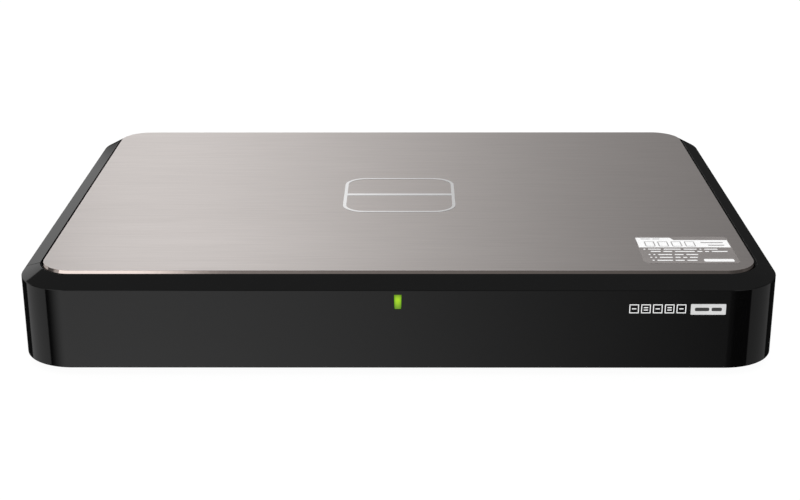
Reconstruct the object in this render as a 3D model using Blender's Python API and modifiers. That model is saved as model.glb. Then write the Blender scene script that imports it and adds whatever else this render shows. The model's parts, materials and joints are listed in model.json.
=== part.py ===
"""A fanless network attached storage unit for two 3.5-inch drives, as separate solids.

The front faces -Y and +Z is up. The origin is the centre of the footprint, on the surface it stands on.
Every size below is in millimetres. Meshes and locations are made in metres.
"""

import math

import bmesh
import bpy
from mathutils import Matrix, Vector

MM = 0.001

# Overall size and the outer skin
WIDTH, DEPTH, HEIGHT = 302.0, 220.0, 41.3
HALF_W, HALF_D = WIDTH / 2, DEPTH / 2
BODY_BOTTOM = 3.4
SHOULDER_Z = 36.3
RIM_Z = 40.35
CORNER_R = 22.0
SHOULDER_RUN = 7.5
WALL = 2.2
CORNER_STEPS = 10

# Seam between bezel and cover: it crosses the shoulder at a slant, in plan
SEAM_INNER = (HALF_W - 8.8, -91.0)
SEAM_OUTER = (HALF_W, -83.0)
SEAM_GAP = 0.35

# Metal plate in its pocket on the deck
POCKET_INSET = 7.6
POCKET_Z = 39.3
PLATE_INSET = 8.4
PLATE_EDGE_RUN = 0.55
PLATE_BOTTOM = 39.4
PLATE_EDGE_Z = 39.9
PLATE_TOP = 41.2
STICKER = 0.08
EMBLEM_SIZE = (50.0, 50.0)
EMBLEM_Y = -4.0

# Bezel fittings
MAGNET_X, MAGNET_Z = (123.6, 130.4), (9.0, 31.0)  # one bar magnet a side, here the right one
PIPE_HALF_W, PIPE_Z = 1.25, (28.55, 34.35)

REST = 0.1  # gap between pieces that rest on each other
CLEAR = 0.3  # gap between pieces that fit round each other

# Base pan and rear panel
PAN_BOTTOM, PAN_TOP, PAN_RIM = 4.4, 5.4, 8.8
PAN_INSET = WALL + 0.4
PAN_FRONT, PAN_REAR = -102.8, 105.9
PANEL_Y = (106.2, 107.4)
PANEL_HALF_W, PANEL_Z = 131.0, (4.6, 34.6)
WINDOW_HALF_W, WINDOW_Z = 126.0, (10.4, 33.5)
REAR_SCREW_X, REAR_SCREW_Z = (-105.0, 0.0, 105.0), 6.9
FOOT_XY = (125.0, 84.0)
BOSS_XY = [(139.0, -75.0), (139.0, 97.0)]

# Drive bays and cage
BAY_INNER, BAY_OUTER = 7.5, 118.5
BAY_CENTRE = (BAY_INNER + BAY_OUTER) / 2
SHEET = 1.0
CAGE_Y = (-99.0, 51.8)
CAGE_TOP = (35.1, 36.0)
CAGE_BOTTOM = PAN_TOP + 0.2

# Tray, lever and drive
TRAY_HALF_W = 54.7
TRAY_FLOOR = (7.0, 8.2)
TRAY_Y = (-100.6, 50.0)
FASCIA_Y = (-102.6, -100.2)
FASCIA_Z = (6.6, 34.6)
PIVOT_OFFSET, PIVOT_Y = 47.5, -104.6
PIN_R, PIN_BORE = 1.0, 1.2
KNUCKLE_R = 1.8
LEVER_LENGTH, LEVER_T = 88.0, 3.2
LEVER_Z = (14.8, 25.2)
DRIVE_SIZE = (101.6, 147.0, 26.1)
DRIVE_FRONT, DRIVE_BOTTOM = -98.4, 8.3

# Mainboard
BOARD_Z = (9.1, 10.7)
BOARD_TOP = BOARD_Z[1] + REST
STANDOFFS = [(-128, 63), (-128, 100), (5.5, 62), (5.5, 101), (128, 100), (140, -34), (140, 60)]
PORT_FACE = 107.6
LAN_X = (-67.0, -85.5)
HDMI_X = (-27.5, -46.5)
USB3_X, USB2_X = -6.5, -104.5
DC_X, DC_Z = 98.0, 16.5
POWER_X, POWER_Z = 115.0, 20.0
RESET_X, RESET_Z = 85.0, 16.0
LOCK_X, LOCK_Z = -118.5, 20.0

COLOURS = {  # base colour, roughness, metallic
    "black_case": ((0.018, 0.018, 0.019), 0.32, 0.0),
    "black_gloss": ((0.012, 0.012, 0.013), 0.12, 0.0),
    "brushed_plate": ((0.50, 0.48, 0.46), 0.32, 1.0),
    "bright_metal": ((0.82, 0.82, 0.82), 0.12, 1.0),
    "label_film": ((0.46, 0.44, 0.43), 0.45, 0.0),
    "zinc_steel": ((0.62, 0.63, 0.64), 0.38, 1.0),
    "black_steel": ((0.03, 0.03, 0.032), 0.45, 0.0),
    "rubber": ((0.025, 0.025, 0.025), 0.85, 0.0),
    "green_light": ((0.36, 0.68, 0.03), 0.3, 0.0),
    "tray_plastic": ((0.035, 0.035, 0.038), 0.5, 0.0),
    "drive_casting": ((0.42, 0.43, 0.44), 0.45, 1.0),
    "drive_lid": ((0.66, 0.67, 0.68), 0.3, 1.0),
    "circuit_board": ((0.01, 0.11, 0.055), 0.4, 0.0),
    "chip_epoxy": ((0.02, 0.02, 0.022), 0.55, 0.0),
    "socket_plastic": ((0.03, 0.03, 0.03), 0.5, 0.0),
    "heatsink_aluminium": ((0.6, 0.61, 0.62), 0.4, 1.0),
    "cable_jacket": ((0.03, 0.03, 0.03), 0.6, 0.0),
}


# ---------------------------------------------------------------- scene and helpers


def clear_scene():
    for obj in list(bpy.data.objects):
        bpy.data.objects.remove(obj)


def new_collection(name):
    collection = bpy.data.collections.new(name)
    bpy.context.scene.collection.children.link(collection)
    return collection


def paint(name):
    """The Principled material of that name, made on first use."""
    found = bpy.data.materials.get(name)
    if found:
        return found
    colour, roughness, metallic = COLOURS[name]
    made = bpy.data.materials.new(name)
    made.use_nodes = True
    shader = made.node_tree.nodes["Principled BSDF"]
    shader.inputs["Base Color"].default_value = (*colour, 1.0)
    shader.inputs["Roughness"].default_value = roughness
    shader.inputs["Metallic"].default_value = metallic
    made.diffuse_color = (*colour, 1.0)
    return made


def add_box(bm, x, y, z):
    """Adds a box between three pairs of limits to a mesh in the making."""
    size = [(high - low) * MM for low, high in (x, y, z)]
    centre = Vector([(high + low) / 2 * MM for low, high in (x, y, z)])
    made = bmesh.ops.create_cube(bm, size=1.0)
    bmesh.ops.scale(bm, vec=size, verts=made["verts"])
    bmesh.ops.translate(bm, vec=centre, verts=made["verts"])
    return made["verts"]


def add_rod(bm, centre, radius, length, axis="Z", sides=24):
    """Adds a closed cylinder along X, Y or Z, centred on a point."""
    turn = {
        "X": Matrix.Rotation(math.pi / 2, 4, "Y"),
        "Y": Matrix.Rotation(math.pi / 2, 4, "X"),
        "Z": Matrix.Identity(4),
    }
    place = Matrix.Translation(Vector(centre) * MM) @ turn[axis]
    bmesh.ops.create_cone(
        bm,
        cap_ends=True,
        segments=sides,
        radius1=radius * MM,
        radius2=radius * MM,
        depth=length * MM,
        matrix=place,
    )


def finish(name, bm, colour, origin=None):
    """Turns a mesh in the making into an object whose origin is the given point, or its own centre."""
    low = Vector([min(v.co[i] for v in bm.verts) for i in range(3)])
    high = Vector([max(v.co[i] for v in bm.verts) for i in range(3)])
    centre = Vector(origin) * MM if origin else (low + high) / 2
    bmesh.ops.translate(bm, vec=-centre, verts=bm.verts)
    mesh = bpy.data.meshes.new(name)
    bm.to_mesh(mesh)
    bm.free()
    mesh.materials.append(paint(colour))
    obj = bpy.data.objects.new(name, mesh)
    obj.location = centre
    PARTS.objects.link(obj)
    return obj


def box(name, x, y, z, colour="black_case"):
    bm = bmesh.new()
    add_box(bm, x, y, z)
    return finish(name, bm, colour)


def boxes(name, limits, colour="black_case"):
    """Several separate boxes as one object."""
    bm = bmesh.new()
    for x, y, z in limits:
        add_box(bm, x, y, z)
    return finish(name, bm, colour)


def rods(name, centres, radius, length, axis="Z", colour="black_case", sides=24):
    """One or more separate cylinders of one size as one object."""
    bm = bmesh.new()
    for centre in centres:
        add_rod(bm, centre, radius, length, axis, sides)
    return finish(name, bm, colour)


def rounded_box(name, x, y, z, radius, colour="black_case", axis=2, steps=4):
    """A box whose four edges along one axis are rounded."""
    bm = bmesh.new()
    add_box(bm, x, y, z)
    along = [e for e in bm.edges if abs((e.verts[0].co - e.verts[1].co).normalized()[axis]) > 0.9]
    bmesh.ops.bevel(bm, geom=along, offset=radius * MM, segments=steps, profile=0.5, affect="EDGES")
    return finish(name, bm, colour)


def plan_box(name, inset, z, colour="black_case"):
    """The unit's own rounded outline, moved inwards by inset, as a block."""
    return rounded_box(
        name,
        (inset - HALF_W, HALF_W - inset),
        (inset - HALF_D, HALF_D - inset),
        z,
        CORNER_R - inset,
        colour,
        steps=CORNER_STEPS,
    )


def as_mesh(obj):
    """Replaces a curve object by its own mesh, welded and closed."""
    bpy.context.view_layer.update()
    evaluated = obj.evaluated_get(bpy.context.evaluated_depsgraph_get())
    mesh = bpy.data.meshes.new_from_object(evaluated)
    bm = bmesh.new()
    bm.from_mesh(mesh)
    bmesh.ops.remove_doubles(bm, verts=bm.verts, dist=0.00001)
    bmesh.ops.recalc_face_normals(bm, faces=bm.faces)
    bm.to_mesh(mesh)
    bm.free()
    name, world = obj.name, obj.matrix_world.copy()
    bpy.data.objects.remove(obj)
    made = bpy.data.objects.new(name, mesh)
    made.matrix_world = world
    PARTS.objects.link(made)
    return made


def outline_block(name, points, z, colour="black_case"):
    """A flat outline in plan, as thick as the given pair of heights."""
    curve = bpy.data.curves.new(name, "CURVE")
    curve.dimensions = "2D"
    curve.fill_mode = "BOTH"
    curve.extrude = (z[1] - z[0]) / 2 * MM
    spline = curve.splines.new("POLY")
    spline.points.add(len(points) - 1)
    for point, (x, y) in zip(spline.points, points):
        point.co = (x * MM, y * MM, 0, 1)
    spline.use_cyclic_u = True
    curve.materials.append(paint(colour))
    obj = bpy.data.objects.new(name, curve)
    obj.location.z = (z[0] + z[1]) / 2 * MM
    PARTS.objects.link(obj)
    return as_mesh(obj)


def turned(name, profile, place, colour, steps=16, axis="Z"):
    """A turned shape: its profile lists (radius, height) from the top down, round the part's own +Z."""
    bm = bmesh.new()
    points = [bm.verts.new((radius * MM, 0, height * MM)) for radius, height in profile]
    for first, second in zip(points, points[1:]):
        bm.edges.new((first, second))
    mesh = bpy.data.meshes.new(name)
    bm.to_mesh(mesh)
    bm.free()
    mesh.materials.append(paint(colour))
    obj = bpy.data.objects.new(name, mesh)
    obj.location = Vector(place) * MM
    obj.rotation_euler = {
        "Z": (0, 0, 0),
        "-Z": (math.pi, 0, 0),
        "Y": (-math.pi / 2, 0, 0),
        "-Y": (math.pi / 2, 0, 0),
    }[axis]
    PARTS.objects.link(obj)
    screw = obj.modifiers.new("turn", "SCREW")
    screw.steps = screw.render_steps = steps
    screw.use_merge_vertices = True
    screw.merge_threshold = 0.00001
    return obj


def use_as_helper(obj):
    obj.hide_render = True
    obj.display_type = "WIRE"
    for collection in list(obj.users_collection):
        collection.objects.unlink(obj)
    CUTTERS.objects.link(obj)


def boolean(obj, other, operation):
    modifier = obj.modifiers.new(f"{operation.lower()} {other.name}", "BOOLEAN")
    modifier.operation = operation
    modifier.object = other
    use_as_helper(other)


def cut(obj, *cutters):
    for cutter in cutters:
        boolean(obj, cutter, "DIFFERENCE")
    return obj


def join(obj, *additions):
    for addition in additions:
        boolean(obj, addition, "UNION")
    return obj


def shade_round(obj, angle=35):
    """Smooth shading with sharp edges kept where faces meet at more than the angle."""
    if obj.type == "MESH":
        obj.data.shade_smooth()
        obj.data.set_sharp_from_angle(angle=math.radians(angle))
    return obj


def both(limits, side):
    """A pair of distances from the middle, on the left (-1) or the right (1)."""
    return tuple(sorted((limits[0] * side, limits[1] * side)))


def grid(first, pitch, count):
    return [first + pitch * i for i in range(count)]


# ---------------------------------------------------------------- casing


def outer_skin(name, colour):
    """The whole outer surface as a shell: walls, sloping shoulder and deck, open underneath."""
    bm = bmesh.new()
    add_box(bm, (-HALF_W, HALF_W), (-HALF_D, HALF_D), (BODY_BOTTOM, SHOULDER_Z))
    upright = [e for e in bm.edges if abs(e.verts[0].co.z - e.verts[1].co.z) > 0.001]
    bmesh.ops.bevel(
        bm, geom=upright, offset=CORNER_R * MM, segments=CORNER_STEPS, profile=0.5, affect="EDGES"
    )
    top = max(bm.faces, key=lambda f: f.calc_center_median().z)
    bmesh.ops.inset_region(bm, faces=[top], thickness=SHOULDER_RUN * MM, use_even_offset=True)
    bmesh.ops.translate(bm, vec=(0, 0, (RIM_Z - SHOULDER_Z) * MM), verts=top.verts)
    bottom = min(bm.faces, key=lambda f: f.calc_center_median().z)
    bmesh.ops.delete(bm, geom=[bottom], context="FACES")
    obj = finish(name, bm, colour)
    solidify = obj.modifiers.new("wall", "SOLIDIFY")
    solidify.thickness = WALL * MM
    solidify.offset = -1
    solidify.use_even_offset = True
    return obj


def seam_region(name, ahead, shift):
    """The region in plan ahead of the seam, or behind it, as a tall block. Shift moves it along Y."""
    beyond = 160.0
    slope = (SEAM_OUTER[1] - SEAM_INNER[1]) / (SEAM_OUTER[0] - SEAM_INNER[0])
    tip = SEAM_OUTER[1] + (beyond - SEAM_OUTER[0]) * slope + shift
    inner = (SEAM_INNER[0], SEAM_INNER[1] + shift)
    seam = [(-beyond, tip), (-inner[0], inner[1]), inner, (beyond, tip)]
    far = -130.0 if ahead else 130.0
    return outline_block(name, [*seam, (beyond, far), (-beyond, far)], (-5.0, 60.0))


def top_cover():
    cover = outer_skin("top_cover", "black_case")
    front = seam_region("cover_front_cut", ahead=True, shift=SEAM_GAP / 2)
    cut(front, plan_box("cover_deck_kept", POCKET_INSET + CLEAR, (30, 50)))
    pocket = plan_box("plate_pocket", POCKET_INSET, (POCKET_Z, 50))
    window = rounded_box(
        "rear_window", (-WINDOW_HALF_W, WINDOW_HALF_W), (100, 115), WINDOW_Z, 3.0, axis=1
    )
    vents = boxes(
        "side_vent_cut",
        [
            (both((140, 160), side), (y, y + 2.6), (11, 27))
            for side in (-1, 1)
            for y in grid(-20, 7.0, 12)
        ],
    )
    cut(cover, front, pocket, window, vents)
    posts = [(x * side, y, 22.4) for side in (-1, 1) for x, y in BOSS_XY]
    join(cover, rods("screw_posts", posts, 3.5, 33.2, sides=16))
    cut(cover, rods("screw_post_bores", [(x, y, 10.0) for x, y, _ in posts], 1.6, 14.0, sides=12))
    rear = [(x, HALF_D, REAR_SCREW_Z) for x in REAR_SCREW_X]
    cut(cover, rods("rear_screw_seats", rear, 3.1, 2.6, "Y", sides=16))
    cut(cover, rods("rear_screw_holes", rear, 1.7, 8.0, "Y", sides=12))
    return cover


def front_bezel():
    bezel = outer_skin("front_bezel", "black_gloss")
    behind = seam_region("bezel_back_cut", ahead=False, shift=-SEAM_GAP / 2)
    cut(bezel, behind, plan_box("bezel_deck_cut", POCKET_INSET, (30, 50)))
    join(bezel, box("bezel_bottom_lip", (-124, 124), (-108.6, -103.6), (3.9, 5.2)))
    for side, hand in ((-1, "left"), (1, "right")):
        x, z = both(MAGNET_X, side), MAGNET_Z
        cup_x, cup_z = (x[0] - 1.4, x[1] + 1.4), (z[0] - 1.4, z[1] + 1.4)
        join(bezel, box("magnet_cup_" + hand, cup_x, (-108.6, -102.9), cup_z))
        pocket_x, pocket_z = (x[0] - 0.2, x[1] + 0.2), (z[0] - 0.2, z[1] + 0.2)
        cut(bezel, box("magnet_pocket_" + hand, pocket_x, (-105.6, -100), pocket_z))
    hole_x = (-PIPE_HALF_W - 0.15, PIPE_HALF_W + 0.15)
    hole_z = (PIPE_Z[0] - 0.15, PIPE_Z[1] + 0.15)
    return cut(bezel, box("light_pipe_hole", hole_x, (-115, -104), hole_z))


def light_pipe():
    """A clear rod flush with the bezel's face, with a glued flange behind the wall."""
    pipe = box("light_pipe", (-PIPE_HALF_W, PIPE_HALF_W), (-109.95, -104.2), PIPE_Z, "green_light")
    flange = box("light_pipe_flange", (-3.0, 3.0), (-107.5, -106.5), (27.6, 34.6))
    return join(pipe, flange)


def bezel_magnet(side, name):
    return box(name, both(MAGNET_X, side), (-105.5, -103.0), MAGNET_Z, "bright_metal")


def top_plate():
    """The metal plate: upright below, with a steep bright cut edge above."""
    bm = bmesh.new()
    half_w, half_d = HALF_W - PLATE_INSET, HALF_D - PLATE_INSET
    add_box(bm, (-half_w, half_w), (-half_d, half_d), (PLATE_BOTTOM, PLATE_EDGE_Z))
    upright = [e for e in bm.edges if abs(e.verts[0].co.z - e.verts[1].co.z) > 0.0001]
    radius = (CORNER_R - PLATE_INSET) * MM
    bmesh.ops.bevel(
        bm, geom=upright, offset=radius, segments=CORNER_STEPS, profile=0.5, affect="EDGES"
    )
    top = max(bm.faces, key=lambda f: f.calc_center_median().z)
    bmesh.ops.inset_region(bm, faces=[top], thickness=PLATE_EDGE_RUN * MM, use_even_offset=True)
    bmesh.ops.translate(bm, vec=(0, 0, (PLATE_TOP - PLATE_EDGE_Z) * MM), verts=top.verts)
    return finish("top_plate", bm, "brushed_plate")


def emblem():
    """A plain raised badge: a rounded square ring with one bar across it, like two drive bays."""
    width, depth = EMBLEM_SIZE
    z = (PLATE_TOP + 0.02, HEIGHT)

    def centred(name, w, d, limits, radius):
        x, y = (-w / 2, w / 2), (EMBLEM_Y - d / 2, EMBLEM_Y + d / 2)
        return rounded_box(name, x, y, limits, radius, "bright_metal", steps=5)

    ring = centred("emblem", width, depth, z, 10.0)
    tall = (PLATE_TOP - 1, HEIGHT + 1)
    cut(ring, centred("emblem_hole", width - 3.0, depth - 3.0, tall, 8.5))
    half = width / 2 - 0.5
    return join(ring, box("emblem_bar", (-half, half), (EMBLEM_Y - 1.5, EMBLEM_Y + 1.5), z))


def info_label():
    x, y = (98.0, 136.2), (-93.1, -61.5)
    z = (PLATE_TOP + 0.02, PLATE_TOP + 0.02 + STICKER)
    return rounded_box("info_label", x, y, z, 2.0, "label_film", steps=3)


def base_pan():
    """A sheet steel pan with low walls, vent slots and screw holes, open across the front."""
    half_w = HALF_W - PAN_INSET
    bm = bmesh.new()
    add_box(bm, (-half_w, half_w), (PAN_FRONT, PAN_REAR), (PAN_BOTTOM, PAN_RIM))
    upright = [e for e in bm.edges if abs(e.verts[0].co.z - e.verts[1].co.z) > 0.001]
    radius = (CORNER_R - PAN_INSET) * MM
    bmesh.ops.bevel(bm, geom=upright, offset=radius, segments=6, profile=0.5, affect="EDGES")
    top = max(bm.faces, key=lambda f: f.calc_center_median().z)
    bmesh.ops.delete(bm, geom=[top], context="FACES")
    pan = finish("base_pan", bm, "zinc_steel")
    solidify = pan.modifiers.new("sheet", "SOLIDIFY")
    solidify.thickness = SHEET * MM
    solidify.offset = -1
    solidify.use_even_offset = True
    cut(pan, box("pan_front_cut", (-160, 160), (-120, -80), (PAN_TOP + 0.1, 20)))
    under_drives = [
        ((x, x + 3), (y, y + 26), (0, 8))
        for side in (-1, 1)
        for x in grid(side * BAY_CENTRE - 33.5, 10.0, 7)
        for y in (-64, 2)
    ]
    under_board = [((x, x + 3), (68, 94), (0, 8)) for x in grid(-91.5, 10.0, 19)]
    cut(pan, boxes("pan_vents", under_drives + under_board))
    holes = [(x * side, y, 5.0) for side in (-1, 1) for x, y in BOSS_XY]
    cut(pan, rods("pan_case_holes", holes, 1.7, 6.0, sides=12))
    cage = [(x, y, 5.0) for x, y in cage_screw_places()]
    cut(pan, rods("pan_cage_holes", cage, 1.5, 6.0, sides=12))
    rear = [(x, PAN_REAR, REAR_SCREW_Z) for x in REAR_SCREW_X]
    cut(pan, rods("pan_rear_holes", rear, 1.6, 6.0, "Y", sides=12))
    posts = [(x, y, (PAN_BOTTOM + 0.3 + BOARD_Z[0] - REST) / 2) for x, y in STANDOFFS]
    height = BOARD_Z[0] - REST - PAN_BOTTOM - 0.3
    join(pan, rods("pan_studs", posts, 2.75, height, sides=6))
    pins = [(x, y, BOARD_Z[0] + 0.4) for x, y in STANDOFFS]
    return join(pan, rods("pan_stud_pins", pins, 1.2, 4.6, sides=10))


def rear_panel():
    """The sheet steel socket plate, behind the window in the cover."""
    y = (PANEL_Y[0] - 3, PANEL_Y[1] + 3)
    panel = box("rear_panel", (-PANEL_HALF_W, PANEL_HALF_W), PANEL_Y, PANEL_Z, "black_steel")
    sockets = [((x - 8.3, x + 8.3), y, (10.6, 24.7)) for x in LAN_X]
    sockets += [((x - 7.9, x + 7.9), y, (10.6, 17.1)) for x in HDMI_X]
    sockets += [((x - 7.5, x + 7.5), y, (10.6, 26.7)) for x in (USB3_X, USB2_X)]
    sockets += [((DC_X - 5.3, DC_X + 5.3), y, (10.6, 22.3))]
    sockets += [((LOCK_X - 1.6, LOCK_X + 1.6), y, (LOCK_Z - 3.6, LOCK_Z + 3.6))]
    cut(panel, boxes("panel_sockets", sockets))
    vents = [((x, x + 2.4), y, (12.0, 31.0)) for x in grid(13.0, 5.0, 12)]
    vents += [((x, x + 4.0), y, (28.6, 31.0)) for x in grid(-112.0, 9.0, 13)]
    cut(panel, boxes("panel_vents", vents))
    cut(panel, rods("power_hole", [(POWER_X, 106.8, POWER_Z)], 4.6, 6.0, "Y"))
    cut(panel, rods("reset_hole", [(RESET_X, 106.8, RESET_Z)], 1.3, 6.0, "Y", sides=12))
    rear = [(x, 106.8, REAR_SCREW_Z) for x in REAR_SCREW_X]
    return cut(panel, rods("panel_rear_holes", rear, 1.6, 6.0, "Y", sides=12))


def rubber_foot(x_side, y_side, name):
    profile = [(0, 4.3), (8.4, 4.3), (8.4, 3.2), (7.6, 0.8), (6.8, 0.0), (0, 0.0)]
    place = (FOOT_XY[0] * x_side, FOOT_XY[1] * y_side, 0)
    return turned(name, profile, place, "rubber", steps=20)


def screw(name, head_r, head_h, shank_r, shank_l, place, axis, colour="zinc_steel"):
    """A pan-head screw. Its head's underside is at place, and axis points out of the head."""
    profile = [(0, head_h), (head_r * 0.75, head_h), (head_r, head_h * 0.5), (head_r, 0)]
    profile += [(shank_r, 0), (shank_r, -shank_l), (0, -shank_l)]
    return turned(name, profile, place, colour, steps=12, axis=axis)


def rear_screw(x, name):
    return screw(name, 2.7, 0.95, 1.25, 6.0, (x, 108.8, REAR_SCREW_Z), "Y", "black_steel")


# ---------------------------------------------------------------- drive cage and its front


def cage_screw_places():
    cage = [(side * 123.5, y) for side in (-1, 1) for y in (-70.0, 30.0)]
    return cage + [(side * 131.0, -97.5) for side in (-1, 1)]


def drive_cage():
    """Four walls and a top in sheet steel, with runners for the trays and feet on the pan."""
    low, high = CAGE_Y
    top = box(
        "drive_cage", (-119.2, 119.2), (low + 0.1, high - 0.1), CAGE_TOP, "zinc_steel"
    )
    for side, hand in ((-1, "left"), (1, "right")):
        walls = ((BAY_INNER - SHEET, BAY_INNER), (BAY_OUTER, BAY_OUTER + SHEET))
        for index, x in enumerate(walls):
            join(top, box(f"cage_wall_{hand}_{index}", both(x, side), (low, high), (CAGE_BOTTOM, 35.6)))
        runners = ((BAY_INNER - 0.5, BAY_INNER + 2.8), (BAY_OUTER - 2.8, BAY_OUTER + 0.5))
        for index, x in enumerate(runners):
            y = (low + 0.3, high - 1.8)
            join(top, box(f"cage_runner_{hand}_{index}", both(x, side), y, (5.9, 6.7)))
        join(top, box(f"cage_foot_{hand}", both((119.0, 127.0), side), (-80, 40), (5.7, 6.6)))
    join(top, box("cage_spine", (-7.2, 7.2), (low + 0.2, high - 0.2), (5.7, 6.5)))
    join(top, box("cage_rear_flange", (-119.1, 119.1), (high - 1.0, high - 0.15), (30.2, 35.6)))
    windows = [(both((22, 104), side), (-66, 24), (30, 40)) for side in (-1, 1)]
    cut(top, boxes("cage_windows", windows))
    holes = [(x, y, 6.0) for x, y in cage_screw_places()[:4]]
    return cut(top, rods("cage_foot_holes", holes, 1.5, 6.0, sides=12))


def front_bracket(side, name):
    """The steel strip beside a bay that the bezel's magnets hold on to."""
    strip = box(name, both((120.0, 141.4), side), (-102.4, -101.4), (5.8, 34.4), "zinc_steel")
    join(strip, box(name + "_flange", both((120.4, 141.0), side), (-101.9, -93.5), (5.85, 6.7)))
    join(strip, box(name + "_tab", both((120.05, 121.0), side), (-101.8, -86.0), (6.2, 34.2)))
    cut(strip, rods(name + "_hole", [(131.0 * side, -97.5, 6.0)], 1.5, 4.0, sides=12))
    slots = [(both((x, x + 2.4), side), (-105, -99), (16.8, 23.2)) for x in grid(124.0, 4.4, 4)]
    return cut(strip, boxes(name + "_slots", slots))


# ---------------------------------------------------------------- trays and drives


def drive_tray(side, name):
    """A sled with low walls and a slotted front that carries the lever's pin."""
    mid = side * BAY_CENTRE
    x = (mid - TRAY_HALF_W, mid + TRAY_HALF_W)
    floor = box(name, x, TRAY_Y, TRAY_FLOOR, "tray_plastic")
    for edge in (-1, 1):
        wall = sorted((mid + edge * (TRAY_HALF_W - 0.1), mid + edge * (TRAY_HALF_W - 1.5)))
        join(floor, box(f"{name}_wall_{edge}", wall, (-100.8, TRAY_Y[1] - 0.1), (7.1, 18.0)))
    fascia_x = (x[0] - 0.1, x[1] + 0.1)
    join(floor, box(f"{name}_fascia", fascia_x, FASCIA_Y, FASCIA_Z))
    pivot = mid + side * PIVOT_OFFSET
    for index, z in enumerate(((12.2, LEVER_Z[0] - 0.3), (LEVER_Z[1] + 0.3, 27.8))):
        ear_x, ear_y = (pivot - 2.6, pivot + 2.6), (-106.7, -102.0)
        join(floor, rounded_box(f"{name}_ear_{index}", ear_x, ear_y, z, 1.2, steps=2))
    cut(floor, rods(f"{name}_pin_bore", [(pivot, PIVOT_Y, 20.0)], PIN_BORE, 20.0, sides=16))
    cut(floor, box(f"{name}_window", (mid - 34, mid + 34), (-70, 26), (0, 12)))
    slots = [
        ((c - 3.6, c + 3.6), (-105, -98), z)
        for c in grid(mid - 44.0, 11.0, 9)
        for z in ((9.6, 11.4), (29.2, 31.0))
    ]
    cut(floor, boxes(f"{name}_slots", slots))
    catch = sorted((pivot - side * 80.0, pivot - side * 85.5))
    cut(floor, box(f"{name}_catch_slot", catch, (-105, -98), (17.6, 22.4)))
    holes = [(mid + i, y, 8.0) for i, y in tray_screw_offsets()]
    return cut(floor, rods(f"{name}_screw_holes", holes, 1.7, 6.0, sides=12))


def tray_screw_offsets():
    """The drive's bottom holes, from the bay's middle and in Y."""
    rear = DRIVE_FRONT + DRIVE_SIZE[1]
    return [(i * 47.63, rear - back) for i in (-1, 1) for back in (41.28, 85.73)]


def lever_pin(side, name):
    place = (side * (BAY_CENTRE + PIVOT_OFFSET), PIVOT_Y, 20.0)
    return rods(name, [place], PIN_R, 15.4, "Z", "zinc_steel", sides=16)


def tray_lever(side, name):
    """The swing lever: a bar from the pin towards the middle, with a finger tab and a button slot."""
    pivot = side * (BAY_CENTRE + PIVOT_OFFSET)
    end = pivot - side * LEVER_LENGTH
    x = sorted((pivot - side * 0.6, end))
    y = (PIVOT_Y - LEVER_T / 2, PIVOT_Y + LEVER_T / 2)
    bar = rounded_box(name, x, y, LEVER_Z, 1.2, "tray_plastic", axis=1, steps=3)
    height = LEVER_Z[1] - LEVER_Z[0] - 0.4
    join(bar, rods(name + "_knuckle", [(pivot, PIVOT_Y, 20.0)], KNUCKLE_R, height, sides=20))
    cut(bar, rods(name + "_bore", [(pivot, PIVOT_Y, 20.0)], PIN_BORE, 20.0, sides=16))
    slot = sorted((pivot - side * 76.0, pivot - side * 86.2))
    cut(bar, box(name + "_button_slot", slot, (-110, -99), (16.8, 23.2)))
    grooves = [
        (sorted((pivot - side * a, pivot - side * (a + 5.0))), (-110, -99), (18.4, 21.6))
        for a in grid(10.0, 8.0, 8)
    ]
    return cut(bar, boxes(name + "_slots", grooves))


def lever_button(side, name):
    """The release button in the lever's slot, with a prong that enters the tray's front."""
    pivot = side * (BAY_CENTRE + PIVOT_OFFSET)
    x = sorted((pivot - side * 78.2, pivot - side * 85.8))
    y, z = (-106.9, -103.4), (17.1, 22.9)
    button = rounded_box(name, x, y, z, 0.8, "green_light", axis=1, steps=2)
    prong_x = sorted((pivot - side * 82.2, pivot - side * 84.6))
    return join(button, box(name + "_prong", prong_x, (-104.0, -101.2), (18.2, 21.8)))


def drive_casting(side, name):
    mid = side * BAY_CENTRE
    width, length, _ = DRIVE_SIZE
    y = (DRIVE_FRONT, DRIVE_FRONT + length)
    x = (mid - width / 2, mid + width / 2)
    body = rounded_box(name, x, y, (DRIVE_BOTTOM, 33.2), 3.0, "drive_casting", steps=3)
    notch = box(name + "_notch", (mid - 23.5, mid + 23.5), (y[1] - 5.0, y[1] + 5), (9.7, 17.6))
    recess = box(name + "_board_recess", (mid - 42, mid + 42), (-18, 38), (0, 10.3))
    grooves = [
        (sorted((mid + edge * 60, mid + edge * (width / 2 - 1.6))), (-80, 30), (27.5, 31.0))
        for edge in (-1, 1)
    ]
    cut(body, notch, recess, boxes(name + "_side_grooves", grooves))
    holes = [(mid + across, back, 9.0) for across, back in tray_screw_offsets()]
    return cut(body, rods(name + "_holes", holes, 1.6, 8.6, sides=12))


def drive_lid(side, name):
    """The stamped cover with its raised round area over the platters."""
    mid = side * BAY_CENTRE
    width, length, _ = DRIVE_SIZE
    x = (mid - width / 2 + 1.2, mid + width / 2 - 1.2)
    y = (DRIVE_FRONT + 1.2, DRIVE_FRONT + length - 1.2)
    lid = rounded_box(name, x, y, (33.3, 33.9), 3.0, "drive_lid", steps=3)
    raised = rods(name + "_dome", [(mid, DRIVE_FRONT + 54.0, 33.95)], 46.0, 0.9, sides=40)
    return join(lid, raised)


def drive_board(side, name):
    mid = side * BAY_CENTRE
    return box(name, (mid - 41, mid + 41), (-17, 37), (8.7, 10.1), "circuit_board")


# ---------------------------------------------------------------- electronics


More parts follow.
